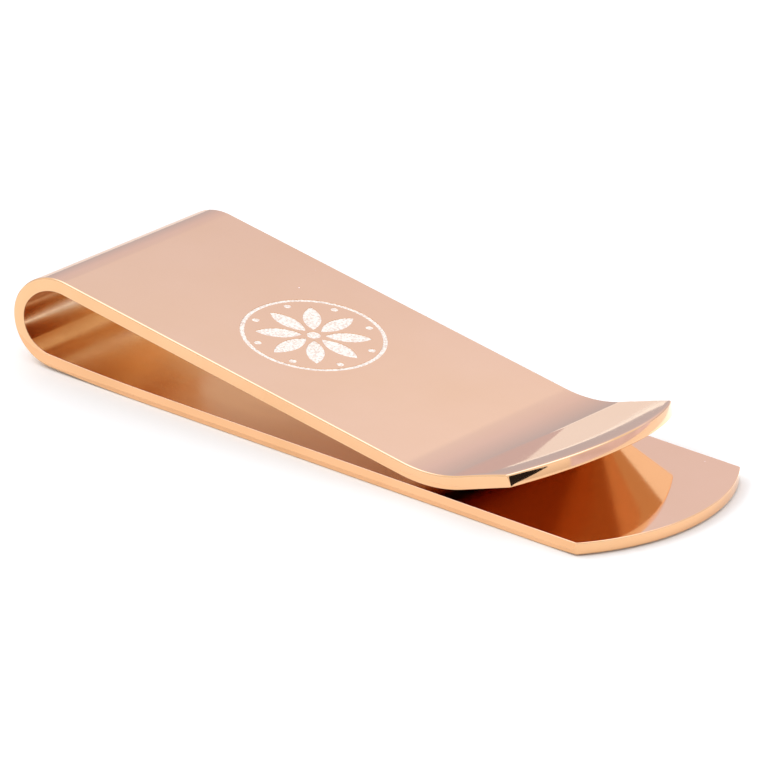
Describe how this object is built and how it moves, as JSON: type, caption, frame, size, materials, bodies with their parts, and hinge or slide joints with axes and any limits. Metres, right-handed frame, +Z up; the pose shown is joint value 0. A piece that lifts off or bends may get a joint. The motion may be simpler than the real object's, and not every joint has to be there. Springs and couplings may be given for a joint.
{
  "type": "money clip",
  "caption": "One-piece folded-strip money clip with a teardrop bend, a pinch line, an upturned rounded lip and an engraved rosette.",
  "frame": {"origin": "on the resting plane under the lower leaf, midway along the overall length and the width", "axes": "+X along the clip from the bend to the rounded tips, +Y across the strip, +Z up through the leaves"},
  "size_m": [0.0604, 0.019, 0.0078],
  "materials": {
    "rose_gold": "mirror-polished rose gold plate",
    "frosted_mark": "laser-frosted, matte and nearly white"
  },
  "bodies": {
    "base": {"lower_leaf": "rose_gold", "heel": "rose_gold", "bend_foot": "rose_gold", "bend_back_low": "rose_gold"},
    "arm": {"bend_back_high": "rose_gold", "bend_crown": "rose_gold", "upper_leaf": "rose_gold", "pinch_curve": "rose_gold", "thumb_lip": "rose_gold", "mark_ring": "frosted_mark", "mark_petals": "frosted_mark", "mark_dots": "frosted_mark"}
  },
  "joints": [
    {"name": "clip_open", "type": "hinge", "parent": "base", "child": "arm", "pos_m": [-0.03021, 0, 0.00345], "axis": [0, -1, 0], "range_deg": [0, 7.2], "stiffness_Nm_per_rad": 10}
  ]
}
